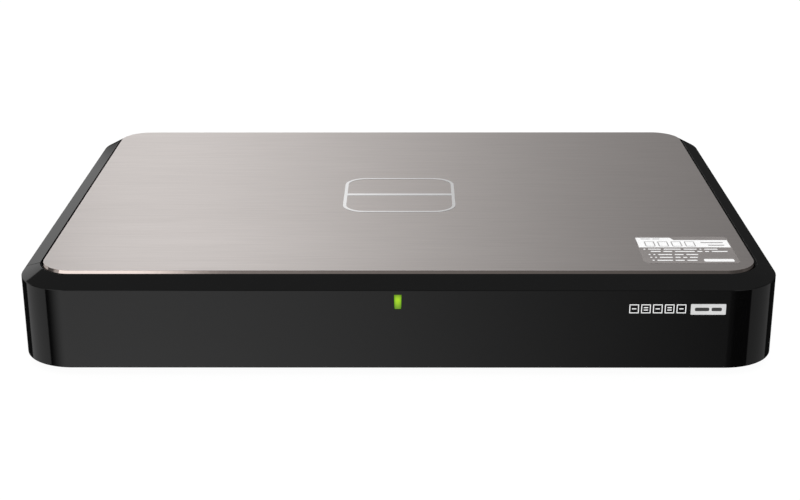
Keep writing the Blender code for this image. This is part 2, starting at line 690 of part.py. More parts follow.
def mainboard():
    """An L with its soldered parts: a strip along the rear, and a narrow wing beside the right bay."""
    points = [(-133, 58.5), (121.5, 58.5), (121.5, -40), (145, -40)]
    points += [(145, 88), (133, 88), (133, 105), (-133, 105)]
    board = outline_block("mainboard", points, BOARD_Z, "circuit_board")
    cut(board, rods("board_holes", [(x, y, 10) for x, y in STANDOFFS], 1.7, 6.0, sides=12))
    return join(board, chips(), power_parts(), box("led_header", (-10, 0), (59.2, 63.2), (10.2, 13.4)))


def chips():
    """Memory and interface chips, as centre and half width."""
    memory = [(-22, 70, 5), (-22, 82, 5), (-38, 72, 5), (-38, 84, 5)]
    others = [(LAN_X[0], 77, 4), (LAN_X[1], 77, 4), (-104, 76, 5), (-120, 82, 3.5), (133, -22, 7)]
    limits = [((x - s, x + s), (y - s, y + s), (10.2, 11.8)) for x, y, s in memory + others]
    return boxes("board_chips", limits, "chip_epoxy")


def power_parts():
    """Chokes and capacitors of the power supply, near the DC inlet."""
    bm = bmesh.new()
    for x in (88, 98, 108):
        for y in (65, 76):
            add_box(bm, (x - 3.5, x + 3.5), (y - 3.5, y + 3.5), (10.2, 15.0))
    for x, y in ((116.5, 65), (116.5, 74), (104, 86), (112, 86)):
        add_rod(bm, (x, y, 14.5), 3.15, 8.6, sides=16)
    return finish("power_parts", bm, "chip_epoxy")


def processor():
    chip = box("processor", (30, 58), (68.5, 93.5), (BOARD_TOP, 12.0), "circuit_board")
    return join(chip, box("processor_die", (38, 50), (76, 86), (11.8, 12.7), "chip_epoxy"))


def heatsink():
    """A finned aluminium block over the processor, in front of the rear vents."""
    block = box("heatsink", (10, 78), (64.5, 102.5), (12.8, 35.4), "heatsink_aluminium")
    slots = [((x, x + 3.6), (60, 110), (17.2, 40)) for x in grid(11.6, 5.6, 12)]
    return cut(block, boxes("heatsink_slots", slots))


def coin_cell_holder():
    holder = rods("coin_cell_holder", [(133, 22, 12.5)], 11.4, 3.4, "Z", "socket_plastic", sides=32)
    return cut(holder, rods("cell_pocket", [(133, 22, 15.0)], 10.3, 6.0, sides=32))


def coin_cell():
    return rods("coin_cell", [(133, 22, 13.7)], 10.0, 3.2, "Z", "bright_metal", sides=32)


def buzzer():
    can = rods("buzzer", [(133, -3, 13.3)], 4.5, 5.0, "Z", "socket_plastic", sides=20)
    return cut(can, rods("buzzer_hole", [(133, -3, 16)], 1.0, 4.0, sides=10))


def lan_port(x, name):
    """A network socket: a T-shaped cavity with the latch notch below, and two light windows."""
    shell = box(name, (x - 8, x + 8), (86.5, PORT_FACE), (BOARD_TOP, 24.4), "zinc_steel")
    cavity = box(name + "_cavity", (x - 5.95, x + 5.95), (93, 112), (13.9, 21.2))
    notch = box(name + "_notch", (x - 3.1, x + 3.1), (96, 112), (12.0, 14.5))
    windows = [((x + left, x + left + 2.8), (107.0, 112), (21.9, 23.5)) for left in (-6.6, 3.8)]
    lights = boxes(name + "_lights", windows)
    return cut(shell, cavity, notch, lights)


def hdmi_port(x, name):
    """A display socket: a flat cavity narrowed at its lower corners, with a tongue."""
    shell = box(name, (x - 7.6, x + 7.6), (95.5, PORT_FACE), (BOARD_TOP, 16.8), "zinc_steel")
    cavity = box(name + "_cavity", (x - 7.0, x + 7.0), (97.5, 112), (13.0, 16.2))
    lower = box(name + "_lower", (x - 5.6, x + 5.6), (97.6, 112), (11.5, 13.4))
    cut(shell, cavity, lower)
    return join(shell, box(name + "_tongue", (x - 5.7, x + 5.7), (96.5, 106.3), (13.9, 14.9)))


def usb_stack(x, name):
    """Two stacked sockets in one shell, each with its tongue at the top."""
    shell = box(name, (x - 7.2, x + 7.2), (90.5, PORT_FACE), (BOARD_TOP, 26.4), "zinc_steel")
    mouths = [((x - 6.6, x + 6.6), (95, 112), (z, z + 5.5)) for z in (12.0, 19.6)]
    cut(shell, boxes(name + "_mouths", mouths))
    tongues = [((x - 5.6, x + 5.6), (94, 106.4), (z + 3.1, z + 4.9)) for z in (12.0, 19.6)]
    return join(shell, boxes(name + "_tongues", tongues))


def dc_inlet():
    body = box("dc_inlet", (DC_X - 5, DC_X + 5), (93.5, PORT_FACE), (BOARD_TOP, 22.0), "socket_plastic")
    cut(body, rods("dc_bore", [(DC_X, 106, DC_Z)], 3.2, 20.0, "Y", sides=24))
    return join(body, rods("dc_pin", [(DC_X, 100.8, DC_Z)], 1.05, 11.0, "Y", sides=12))


def power_switch():
    x, y, z = (POWER_X - 4, POWER_X + 4), (96, 101.4), (BOARD_TOP, 24.0)
    plunger = rods("power_plunger", [(POWER_X, 101.6, POWER_Z)], 2.0, 2.2, "Y", sides=16)
    return join(box("power_switch", x, y, z, "socket_plastic"), plunger)


def reset_switch():
    x, y, z = (RESET_X - 3, RESET_X + 3), (98, 103.3), (BOARD_TOP, 18.0)
    return box("reset_switch", x, y, z, "socket_plastic")


def power_button():
    """The button's cap passes through the panel, and its collar stays behind it."""
    profile = [(0, 3.0), (3.7, 3.0), (4.2, 2.5), (4.2, -0.8), (5.2, -0.8), (5.2, -1.8), (0, -1.8)]
    return turned("power_button", profile, (POWER_X, 106.0, POWER_Z), "black_gloss", steps=24, axis="Y")


def reset_button():
    profile = [(0, 2.4), (1.0, 2.4), (1.0, 0.4), (1.7, 0.4), (1.7, -0.3), (0, -0.3)]
    place = (RESET_X, 104.6, RESET_Z)
    return turned("reset_button", profile, place, "socket_plastic", steps=12, axis="Y")


def sata_backplane():
    board = box("sata_backplane", (-116, 116), (51.9, 53.5), (9.4, 34.0), "circuit_board")
    centres = [side * BAY_CENTRE + offset for side in (-1, 1) for offset in (-30, 30)]
    slots = [((x - 9, x + 9), (50, 56), (21, 27)) for x in centres]
    return cut(board, boxes("backplane_air_slots", slots))


def sata_socket(side, name):
    mid = side * BAY_CENTRE
    body = box(name, (mid - 21, mid + 21), (44.8, 51.8), (11.2, 16.2), "socket_plastic")
    return cut(body, box(name + "_slot", (mid - 19, mid + 19), (40, 49.5), (12.9, 14.5)))


def backplane_link():
    return box("backplane_link", (-95, -35), (53.7, 64.0), (BOARD_TOP, 17.5), "socket_plastic")


def led_board():
    return box("led_board", (-5.8, 5.8), (-100.6, -99.4), (7.2, 34.6), "circuit_board")


def status_led():
    return box("status_led", (-1.4, 1.4), (-102.2, -100.7), (29.6, 33.2), "label_film")


def infrared_receiver():
    body = box("infrared_receiver", (-2.6, 2.6), (-103.0, -100.7), (13.0, 19.5), "black_gloss")
    return join(body, rods("receiver_lens", [(0, -103.0, 16.6)], 1.9, 1.8, "Y", sides=16))


def led_cable():
    """The cable from the LED board, between the bays, up to its header on the mainboard."""
    route = [(0, -99.2, 12.0), (0, -96.6, 11.6), (0, -94.2, 9.6), (0, -91.0, 8.2), (0, -86.0, 7.8)]
    route += [(0, y, 7.8) for y in grid(-60.0, 36.0, 4)]
    route += [(-0.6, 53.0, 7.9), (-2.6, 55.8, 9.4), (-4.2, 56.7, 12.2), (-4.9, 57.8, 14.8)]
    route += [(-5.0, 59.4, 15.9), (-5.0, 60.8, 15.3), (-5.0, 61.2, 13.6)]
    curve = bpy.data.curves.new("led_cable", "CURVE")
    curve.dimensions = "3D"
    curve.bevel_depth = 1.0 * MM
    curve.bevel_resolution = 2
    curve.use_fill_caps = True
    spline = curve.splines.new("POLY")
    spline.points.add(len(route) - 1)
    for point, place in zip(spline.points, route):
        point.co = (*(Vector(place) * MM), 1)
    curve.materials.append(paint("cable_jacket"))
    obj = bpy.data.objects.new("led_cable", curve)
    PARTS.objects.link(obj)
    return obj


# ---------------------------------------------------------------- assembly


def body(name, origin, members, parent=None):
    """An empty at a moving group's joint, with its pieces parented to it where they are."""
    empty = bpy.data.objects.new(name, None)
    empty.location = Vector(origin) * MM
    PARTS.objects.link(empty)
    for member in members:
        member.parent = empty
        member.matrix_parent_inverse = Matrix.Translation(-empty.location)
    if parent:
        empty.parent = parent
        empty.matrix_parent_inverse = Matrix.Translation(-parent.location)
        empty.location = Vector(origin) * MM
    return empty


def drive_assembly(chassis, side, hand):
    """One tray with its drive, and its lever with the lever's button, each on its own empty."""
    carried = [
        drive_tray(side, f"tray_{hand}"),
        lever_pin(side, f"lever_pin_{hand}"),
        drive_casting(side, f"drive_casting_{hand}"),
        drive_lid(side, f"drive_lid_{hand}"),
        drive_board(side, f"drive_board_{hand}"),
    ]
    pivot = (side * (BAY_CENTRE + PIVOT_OFFSET), PIVOT_Y, 20.0)
    tray = body(f"tray_slide_{hand}", (side * BAY_CENTRE, FASCIA_Y[0], 20.0), carried, chassis)
    lever = body(f"lever_pivot_{hand}", pivot, [tray_lever(side, f"lever_{hand}")], tray)
    release = (pivot[0] - side * 82.0, PIVOT_Y, 20.0)
    body(f"release_{hand}", release, [lever_button(side, f"lever_button_{hand}")], lever)


def casing():
    feet = [
        rubber_foot(x, y, f"foot_{front}_{hand}")
        for y, front in ((-1, "front"), (1, "rear"))
        for x, hand in ((-1, "left"), (1, "right"))
    ]
    screws = [rear_screw(x, f"rear_screw_{i + 1}") for i, x in enumerate(REAR_SCREW_X)]
    return [top_cover(), top_plate(), emblem(), info_label(), base_pan(), rear_panel(), *feet, *screws]


def inside():
    brackets = [front_bracket(-1, "front_bracket_left"), front_bracket(1, "front_bracket_right")]
    sata = [sata_socket(-1, "sata_socket_left"), sata_socket(1, "sata_socket_right")]
    front = [led_board(), status_led(), infrared_receiver(), led_cable()]
    return [drive_cage(), *brackets, sata_backplane(), *sata, backplane_link(), *front]


def board_and_sockets():
    board = [mainboard(), processor(), heatsink(), coin_cell_holder(), coin_cell(), buzzer()]
    display = [hdmi_port(x, f"hdmi_port_{i + 1}") for i, x in enumerate(HDMI_X)]
    network = [lan_port(x, f"lan_port_{i + 1}") for i, x in enumerate(LAN_X)]
    usb = [usb_stack(USB3_X, "usb3_ports"), usb_stack(USB2_X, "usb2_ports")]
    return [*board, *display, *network, *usb, dc_inlet(), power_switch(), reset_switch()]


def build():
    chassis = body("chassis", (0, 0, 0), [*casing(), *inside(), *board_and_sockets()])
    magnets = [bezel_magnet(-1, "bezel_magnet_left"), bezel_magnet(1, "bezel_magnet_right")]
    body("bezel_pull", (0, -HALF_D, 20), [front_bezel(), light_pipe(), *magnets], chassis)
    for side, hand in ((-1, "left"), (1, "right")):
        drive_assembly(chassis, side, hand)
    body("power_press", (POWER_X, 106.0, POWER_Z), [power_button()], chassis)
    body("reset_press", (RESET_X, 104.6, RESET_Z), [reset_button()], chassis)
    for obj in PARTS.objects:
        shade_round(obj)


clear_scene()
PARTS = new_collection("network_attached_storage")
CUTTERS = new_collection("cutters")
build()
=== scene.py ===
"""Looks of a fanless network attached storage unit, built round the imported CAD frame.

The front faces -Y and +Z is up. Sizes are in millimetres and become metres through MM.
"""

import json
import math

import bmesh
import bpy
from mathutils import Matrix, Vector

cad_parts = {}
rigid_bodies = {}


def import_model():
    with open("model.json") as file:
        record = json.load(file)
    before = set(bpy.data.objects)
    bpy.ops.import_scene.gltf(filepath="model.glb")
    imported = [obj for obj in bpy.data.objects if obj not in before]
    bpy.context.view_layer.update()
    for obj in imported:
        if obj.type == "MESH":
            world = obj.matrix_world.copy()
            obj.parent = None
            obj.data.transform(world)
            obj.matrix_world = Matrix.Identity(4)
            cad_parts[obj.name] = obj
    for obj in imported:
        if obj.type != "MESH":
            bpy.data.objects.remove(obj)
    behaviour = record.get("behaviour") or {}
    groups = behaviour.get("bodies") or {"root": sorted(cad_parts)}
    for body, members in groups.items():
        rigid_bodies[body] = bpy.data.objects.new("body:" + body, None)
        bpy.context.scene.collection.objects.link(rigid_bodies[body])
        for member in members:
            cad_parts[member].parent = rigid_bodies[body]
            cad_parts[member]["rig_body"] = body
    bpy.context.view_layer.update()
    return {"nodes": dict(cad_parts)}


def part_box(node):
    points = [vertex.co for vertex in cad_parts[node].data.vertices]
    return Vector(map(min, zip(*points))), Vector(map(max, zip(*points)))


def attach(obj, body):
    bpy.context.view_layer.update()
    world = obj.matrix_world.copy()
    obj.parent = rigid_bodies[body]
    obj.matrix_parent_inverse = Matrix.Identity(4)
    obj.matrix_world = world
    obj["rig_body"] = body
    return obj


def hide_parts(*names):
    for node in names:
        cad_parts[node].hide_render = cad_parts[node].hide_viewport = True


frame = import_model()
MM = 0.001

# Case, as in the CAD
HALF_W, HALF_D = 151.0, 110.0
BODY_BOTTOM, SHOULDER_Z, RIM_Z, POCKET_Z = 3.4, 36.3, 40.35, 39.3
CORNER_R = 22.0
SHOULDER_RUN, POCKET_INSET, DECK_INSET = 7.5, 7.6, 7.9
WALL = 2.2
UNDER_SHOULDER_Z, UNDER_DECK_Z = 34.98, 37.95
CORNER_STEPS = 22
SEAM_INNER, SEAM_OUTER, SEAM_GAP = (HALF_W - 8.8, -91.0), (HALF_W, -83.0), 0.6

# Plate
PLATE_INSET, PLATE_EDGE_RUN = 8.4, 0.55
PLATE_BOTTOM, PLATE_EDGE_Z, PLATE_TOP = 39.4, 39.9, 41.2

LAN_X, HDMI_X, USB_X = (-67.0, -85.5), (-27.5, -46.5), (-6.5, -104.5)
POWER_X, POWER_Z = 115.0, 20.0
REAR_SCREW_X, REAR_SCREW_Z = (-105.0, 0.0, 105.0), 6.9
POSTS = [(side * 139.0, y) for side in (-1, 1) for y in (-75.0, 97.0)]
BOARD_TOP = 10.8
WINDOW_HALF_W, WINDOW_Z = 126.0, (10.4, 33.5)
VENT_FIRST, VENT_PITCH, VENT_W, VENT_Z, VENTS = -20.0, 7.0, 2.6, (11.0, 27.0), 12
PIPE_HALF_W, PIPE_Z = 1.25, (28.55, 34.35)
SIDES = ((-1, "left"), (1, "right"))


# ---------------------------------------------------------------- node trees


class Tree:
    """A node tree with short calls that add nodes and join them."""

    def __init__(self, tree):
        self.nodes, self.links = tree.nodes, tree.links

    def put(self, socket, value):
        if isinstance(value, bpy.types.NodeSocket):
            self.links.new(value, socket)
        else:
            socket.default_value = value

    def add(self, kind, inputs=(), out=0, **settings):
        node = self.nodes.new("ShaderNode" + kind)
        for key, value in settings.items():
            setattr(node, key, value)
        for key, value in dict(inputs).items():
            self.put(node.inputs[key], value)
        return node.outputs[out]

    def maths(self, operation, *values, clamp=False):
        return self.add("Math", dict(enumerate(values)), operation=operation, use_clamp=clamp)

    def remap(self, value, old, new):
        limits = {"Value": value, "From Min": old[0], "From Max": old[1]}
        return self.add("MapRange", {**limits, "To Min": new[0], "To Max": new[1]})

    def ramp(self, value, stops, interpolation="LINEAR"):
        """A colour ramp over (place, colour or grey level) stops."""
        socket = self.add("ValToRGB", {"Fac": value})
        ramp = socket.node.color_ramp
        ramp.interpolation = interpolation
        while len(ramp.elements) < len(stops):
            ramp.elements.new(1.0)
        for element, (place, colour) in zip(ramp.elements, stops):
            element.position = place
            grey = isinstance(colour, (int, float))
            element.color = (colour,) * 3 + (1.0,) if grey else (*colour, 1.0)
        return socket

    def mix(self, factor, first, second, blend="MIX"):
        inputs = {0: factor, 6: first, 7: second}
        return self.add("Mix", inputs, out=2, data_type="RGBA", blend_type=blend)

    def coordinates(self, stretch=(1.0, 1.0, 1.0)):
        place = self.add("TexCoord", out=3)
        return self.add("Mapping", {"Vector": place, "Scale": stretch})

    def noise(self, scale, stretch=(1.0, 1.0, 1.0), detail=3.0, roughness=0.5):
        where = {"Vector": self.coordinates(stretch), "Scale": scale}
        return self.add("TexNoise", {**where, "Detail": detail, "Roughness": roughness})

    def bump(self, height, strength, depth=0.0001):
        values = {"Height": height, "Strength": strength, "Distance": depth}
        return self.add("Bump", values)


def material(name, **values):
    """A new material, its tree and its Principled shader, with some of the shader's sockets set."""
    made = bpy.data.materials.new(name)
    made.use_nodes = True
    tree = Tree(made.node_tree)
    shader = made.node_tree.nodes["Principled BSDF"]
    settle(shader, tree, **values)
    return made, tree, shader


def settle(shader, tree, **values):
    """Sets or links sockets of the shader. Their names are written small, with _ for a space."""
    for key, value in values.items():
        tree.put(shader.inputs[key.replace("_", " ").title().replace("Ior", "IOR")], value)


def black_shell(name, base, roughness, grain):
    """Glossy moulded plastic with faint level tool lines under the finish."""
    made, tree, shader = material(name, ior=1.5)
    mottle = tree.noise(60.0, detail=2.0)
    lines = tree.noise(1400.0, (0.012, 0.012, 1.0), detail=2.0)
    orange_peel = tree.noise(420.0, detail=1.0)
    height = tree.maths("MULTIPLY_ADD", lines, grain, orange_peel)
    colour = tree.ramp(mottle, [(0.3, tuple(c * 0.85 for c in base)), (0.7, base)])
    rough = tree.remap(mottle, (0.3, 0.7), (roughness * 0.85, roughness * 1.15))
    settle(
        shader, tree, base_color=colour, roughness=rough, normal=tree.bump(height, 0.02, 0.00005)
    )
    return made


def brushed_plate():
    """Aluminium brushed from side to side, with fine streaks of several lengths."""
    made, tree, shader = material("plate_brushed", metallic=1.0, anisotropic=0.85)
    fine = tree.noise(2200.0, (0.020, 1.0, 1.0), detail=2.0)
    middling = tree.noise(700.0, (0.045, 1.0, 1.0), detail=2.0, roughness=0.6)
    broad = tree.noise(160.0, (0.05, 1.0, 1.0), detail=2.0)
    both = tree.maths("ADD", tree.maths("MULTIPLY", fine, 0.5), tree.maths("MULTIPLY", middling, 0.5))
    colour = tree.ramp(both, [(0.25, (0.765, 0.713, 0.690)), (0.75, (0.855, 0.797, 0.772))])
    rough = tree.remap(broad, (0.3, 0.7), (0.39, 0.41))
    tangent = tree.add("Tangent", direction_type="UV_MAP", uv_map="brush")
    settle(
        shader, tree, base_color=colour, roughness=rough, tangent=tangent,
        normal=tree.bump(both, 0.05, 0.00002),
    )
    return made


def plain_metal(name, dark, light, roughness, scale=300.0, stretch=(1.0, 1.0, 1.0), bump=0.05):
    """Metal whose tone, gloss and surface vary with one grain, stretched where it was brushed."""
    made, tree, shader = material(name, metallic=1.0)
    grain = tree.noise(scale, stretch, detail=3.0, roughness=0.6)
    patches = tree.noise(35.0, detail=2.0)
    both = tree.maths("MULTIPLY_ADD", patches, 0.5, tree.maths("MULTIPLY", grain, 0.5))
    settle(
        shader, tree,
        base_color=tree.ramp(both, [(0.3, dark), (0.7, light)]),
        roughness=tree.remap(both, (0.3, 0.7), roughness),
        normal=tree.bump(grain, bump, 0.00005),
    )
    return made


def plastic(name, dark, light, roughness, scale=2500.0, bump=0.15, **extra):
    """Moulded plastic or rubber with a fine eroded texture."""
    made, tree, shader = material(name, **extra)
    grain = tree.noise(scale, detail=2.0)
    patches = tree.noise(50.0, detail=2.0)
    settle(
        shader, tree,
        base_color=tree.ramp(patches, [(0.35, dark), (0.65, light)]),
        roughness=tree.remap(grain, (0.3, 0.7), roughness),
        normal=tree.bump(grain, bump, 0.00006),
    )
    return made


def window_light(low, high):
    """The lit green window: brightest in the middle, with a yellowish core and deeper sides."""
    made, tree, shader = material("status_window", roughness=0.12, ior=1.5)
    x, _, z = (tree.add("SeparateXYZ", {0: tree.coordinates()}, out=i) for i in range(3))
    rise = tree.remap(z, (low.z, high.z), (0.0, 1.0))
    glow = tree.ramp(
        rise,
        [(0.0, (0.14, 0.28, 0.008)), (0.1, (0.15, 0.30, 0.008)), (0.37, (0.28, 0.515, 0.005)),
         (0.51, (0.34, 0.605, 0.005)), (0.65, (0.375, 0.665, 0.005)), (0.79, (0.32, 0.56, 0.004)),
         (1.0, (0.16, 0.29, 0.003))],
    )
    off_centre = tree.maths("ABSOLUTE", tree.remap(x, (low.x, high.x), (-1.0, 1.0)))
    sides = tree.ramp(off_centre, [(0.35, (1.0, 1.0, 1.0)), (1.0, (0.55, 0.72, 0.5))])
    grain = tree.noise(900.0, detail=1.0)
    flecks = tree.ramp(grain, [(0.3, 0.94), (0.7, 1.0)])
    product = tree.mix(1.0, tree.mix(1.0, glow, sides, "MULTIPLY"), flecks, "MULTIPLY")
    settle(
        shader, tree, base_color=(0.02, 0.05, 0.005, 1.0), emission_color=product, emission_strength=1.0
    )
    return made


def circuit_board():
    """Green laminate with traces and pads on the board faces, and dark packages above them."""
    made, tree, shader = material("circuit_laminate", ior=1.5)
    place = tree.coordinates()
    cells = tree.add("TexVoronoi", {"Vector": place, "Scale": 420.0}, distance="CHEBYCHEV")
    traces = tree.add("TexBrick", {"Vector": place, "Scale": 260.0, "Mortar Size": 0.06}, out=1)
    colour = tree.ramp(traces, [(0.0, (0.004, 0.055, 0.022)), (1.0, (0.012, 0.11, 0.045))])
    pads = tree.ramp(cells, [(0.10, 1.0), (0.13, 0.0)], "CONSTANT")
    colour = tree.mix(pads, colour, (0.45, 0.42, 0.33, 1.0))
    z = tree.add("SeparateXYZ", {0: place}, out=2)
    above = tree.maths("GREATER_THAN", z, (BOARD_TOP + 0.1) * MM)
    grain = tree.noise(800.0)
    package = tree.ramp(grain, [(0.3, (0.010, 0.010, 0.011)), (0.7, (0.022, 0.022, 0.024))])
    settle(
        shader, tree,
        base_color=tree.mix(above, colour, package),
        roughness=tree.remap(grain, (0.3, 0.7), (0.35, 0.55)),
        normal=tree.bump(grain, 0.1),
    )
    return made


def small_board():
    """The same laminate for the upright boards, with traces only."""
    made, tree, shader = material("small_laminate", ior=1.5)
    bricks = {"Vector": tree.coordinates(), "Scale": 300.0, "Mortar Size": 0.07}
    traces = tree.add("TexBrick", bricks, out=1)
    grain = tree.noise(700.0)
    settle(
        shader, tree,
        base_color=tree.ramp(traces, [(0.0, (0.004, 0.060, 0.024)), (1.0, (0.014, 0.12, 0.05))]),
        roughness=tree.remap(grain, (0.3, 0.7), (0.3, 0.45)),
        normal=tree.bump(traces, 0.2),
    )
    return made


# ---------------------------------------------------------------- shapes


def new_object(name, mesh):
    obj = bpy.data.objects.new(name, mesh)
    bpy.context.scene.collection.objects.link(obj)
    return obj


def from_bmesh(name, bm):
    bmesh.ops.recalc_face_normals(bm, faces=bm.faces)
    mesh = bpy.data.meshes.new(name)
    bm.to_mesh(mesh)
    bm.free()
    return new_object(name, mesh)


def rounded_outline(x, y, radius, steps):
    """A rounded rectangle in plan, anticlockwise, from limits in x and y."""
    points = []
    for quarter, (i, j) in enumerate(((1, 0), (1, 1), (0, 1), (0, 0))):
        centre = (x[i] - (2 * i - 1) * radius, y[j] - (2 * j - 1) * radius)
        for step in range(steps + 1):
            turn = math.pi / 2 * (quarter - 1 + step / steps)
            points.append((centre[0] + radius * math.cos(turn), centre[1] + radius * math.sin(turn)))
    return points


def case_outline(inset):
    return rounded_outline(
        (inset - HALF_W, HALF_W - inset),
        (inset - HALF_D, HALF_D - inset),
        CORNER_R - inset,
        CORNER_STEPS,
    )


def filleted(corners, steps=4):
    """An open path of (u, v, radius) corners, with each inner corner rounded to its radius."""
    points = [tuple(corners[0][:2])]
    for before, (u, v, radius), after in zip(corners, corners[1:], corners[2:]):
        here = Vector((u, v))
        if not radius:
            points.append((u, v))
            continue
        back = (Vector(before[:2]) - here).normalized()
        ahead = (Vector(after[:2]) - here).normalized()
        half = back.angle(ahead) / 2
        centre = here + (back + ahead).normalized() * (radius / math.sin(half))
        start = here + back * (radius / math.tan(half)) - centre
        end = here + ahead * (radius / math.tan(half)) - centre
        first = math.atan2(start.y, start.x)
        swing = (math.atan2(end.y, end.x) - first + math.pi) % (2 * math.pi) - math.pi
        for step in range(steps + 1):
            turn = first + swing * step / steps
            points.append((centre.x + radius * math.cos(turn), centre.y + radius * math.sin(turn)))
    return points + [tuple(corners[-1][:2])]


def loft(name, rings, closed=False):
    """Rings of points, each joined to the next. The ends are capped, or joined when closed."""
    bm = bmesh.new()
    rows = [[bm.verts.new(Vector(p) * MM) for p in ring] for ring in rings]
    pairs = list(zip(rows, rows[1:])) + ([(rows[-1], rows[0])] if closed else [])
    for low, high in pairs:
        for i in range(len(low)):
            k = (i + 1) % len(low)
            bm.faces.new((low[i], low[k], high[k], high[i]))
    if not closed:
        bm.faces.new(rows[0])
        bm.faces.new(rows[-1])
    return from_bmesh(name, bm)


def slab(name, x, y, z, radius, edge=0.0, steps=6, edge_steps=2):
    """A flat piece with rounded corners in plan, and rounded upper edges."""
    levels = [(0.0, z[0])]
    if edge:
        for step in range(edge_steps + 1):
            turn = math.pi / 2 * step / edge_steps
            levels.append((edge * (1 - math.cos(turn)), z[1] - edge * (1 - math.sin(turn))))
    else:
        levels.append((0.0, z[1]))
    rings = []
    for inset, height in levels:
        outline = rounded_outline(
            (x[0] + inset, x[1] - inset), (y[0] + inset, y[1] - inset), radius - inset, steps
        )
        rings.append([(u, v, height) for u, v in outline])
    return loft(name, rings)


def blocks(name, limits):
    """Plain boxes as one object."""
    bm = bmesh.new()
    for x, y, z in limits:
        place = Matrix.Translation([sum(pair) / 2 * MM for pair in (x, y, z)])
        size = Matrix.Diagonal([(pair[1] - pair[0]) * MM for pair in (x, y, z)] + [1.0])
        bmesh.ops.create_cube(bm, size=1.0, matrix=place @ size)
    return from_bmesh(name, bm)


def rods(name, centres, radius, length, axis="Z", sides=24):
    turn = {
        "X": Matrix.Rotation(math.pi / 2, 4, "Y"),
        "Y": Matrix.Rotation(math.pi / 2, 4, "X"),
        "Z": Matrix.Identity(4),
    }
    bm = bmesh.new()
    for centre in centres:
        bmesh.ops.create_cone(
            bm, cap_ends=True, segments=sides, radius1=radius * MM, radius2=radius * MM,
            depth=length * MM, matrix=Matrix.Translation(Vector(centre) * MM) @ turn[axis],
        )
    return from_bmesh(name, bm)


def turned(name, profile, place, axis="Z", sides=48):
    """A turned solid: its profile lists (radius, height) along the axis, from end to end."""
    rings = []
    for radius, height in profile:
        ring = []
        for i in range(sides):
            turn = 2 * math.pi * i / sides
            u, v = radius * math.cos(turn), radius * math.sin(turn)
            offset = {"Z": (u, v, height), "Y": (v, height, u), "X": (height, u, v)}[axis]
            ring.append(tuple(a + b for a, b in zip(place, offset)))
        rings.append(ring)
    return loft(name, rings)


def prism(name, outline, z):
    """An outline in plan, as thick as the pair of heights."""
    return loft(name, [[(x, y, height) for x, y in outline] for height in z])


def combine(target, *others, operation="DIFFERENCE"):
    """Cuts the others from the target, or joins them to it, and keeps one mesh."""
    for other in others:
        modifier = target.modifiers.new("boolean", "BOOLEAN")
        modifier.operation = operation
        modifier.object = other
        modifier.solver = "EXACT"
        bpy.context.view_layer.update()
        graph = bpy.context.evaluated_depsgraph_get()
        mesh = bpy.data.meshes.new_from_object(target.evaluated_get(graph))
        target.modifiers.clear()
        target.data = mesh
        bpy.data.objects.remove(other)
    return target


def dress(obj, body, look, replaces=(), bevel=0.0, sharp=32.0, segments=2):
    """Shades a piece, rounds its edges, gives it its material and puts it on its body."""
    obj.data.materials.clear()
    obj.data.materials.append(look)
    for polygon in obj.data.polygons:
        polygon.material_index = 0
    obj.data.shade_smooth()
    if bevel:
        rounding = obj.modifiers.new("edges", "BEVEL")
        rounding.width = bevel * MM
        rounding.segments = segments
        rounding.limit_method = "ANGLE"
        rounding.angle_limit = math.radians(sharp)
        rounding.miter_outer = "MITER_ARC"
    else:
        obj.data.set_sharp_from_angle(angle=math.radians(sharp))
    weigh = obj.modifiers.new("normals", "WEIGHTED_NORMAL")
    weigh.keep_sharp = not bevel
    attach(obj, body)
    if replaces:
        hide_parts(*replaces)
    return obj


def refined(node, look, bevel=0.15, sharp=32.0, segments=2):
    """A CAD node's shape with welded faces, rounded edges and a new material, in its place."""
    source = frame["nodes"][node]
    bm = bmesh.new()
    bm.from_mesh(source.data)
    bmesh.ops.remove_doubles(bm, verts=bm.verts, dist=2e-6)
    if bevel:
        bmesh.ops.dissolve_limit(bm, angle_limit=math.radians(0.5), verts=bm.verts, edges=bm.edges)
    bm.verts.index_update()
    mesh = bpy.data.meshes.new(node + "_piece")
    mesh.from_pydata([v.co for v in bm.verts], [], [[v.index for v in f.verts] for f in bm.faces])
    bm.free()
    obj = new_object(node + "_piece", mesh)
    return dress(obj, source["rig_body"], look, (node,), bevel, sharp, segments)


# ---------------------------------------------------------------- case


def wall_profile():
    """The outside of the case as (inset, height), from the pocket's rim down to the bottom edge."""
    return filleted(
        [
            (POCKET_INSET, POCKET_Z, 0),
            (POCKET_INSET, RIM_Z, 0.05),
            (SHOULDER_RUN, RIM_Z, 0.12),
            (0.0, SHOULDER_Z, 0.45),
            (0.0, BODY_BOTTOM, 0.35),
            (WALL, BODY_BOTTOM, 0),
        ]
    )


def seam_region(name, ahead, shift):
    """The region in plan ahead of the seam, or behind it, as a tall block."""
    beyond = 160.0
    slope = (SEAM_OUTER[1] - SEAM_INNER[1]) / (SEAM_OUTER[0] - SEAM_INNER[0])
    tip = SEAM_OUTER[1] + (beyond - SEAM_OUTER[0]) * slope + shift
    x, y = SEAM_INNER[0], SEAM_INNER[1] + shift
    far = -130.0 if ahead else 130.0
    outline = [(-beyond, tip), (-x, y), (x, y), (beyond, tip), (beyond, far), (-beyond, far)]
    return prism(name, outline, (-5.0, 60.0))


def case_block(name, inset, z):
    return prism(name, case_outline(inset), z)


def rings_of(profile):
    return [[(x, y, z) for x, y in case_outline(inset)] for inset, z in profile]


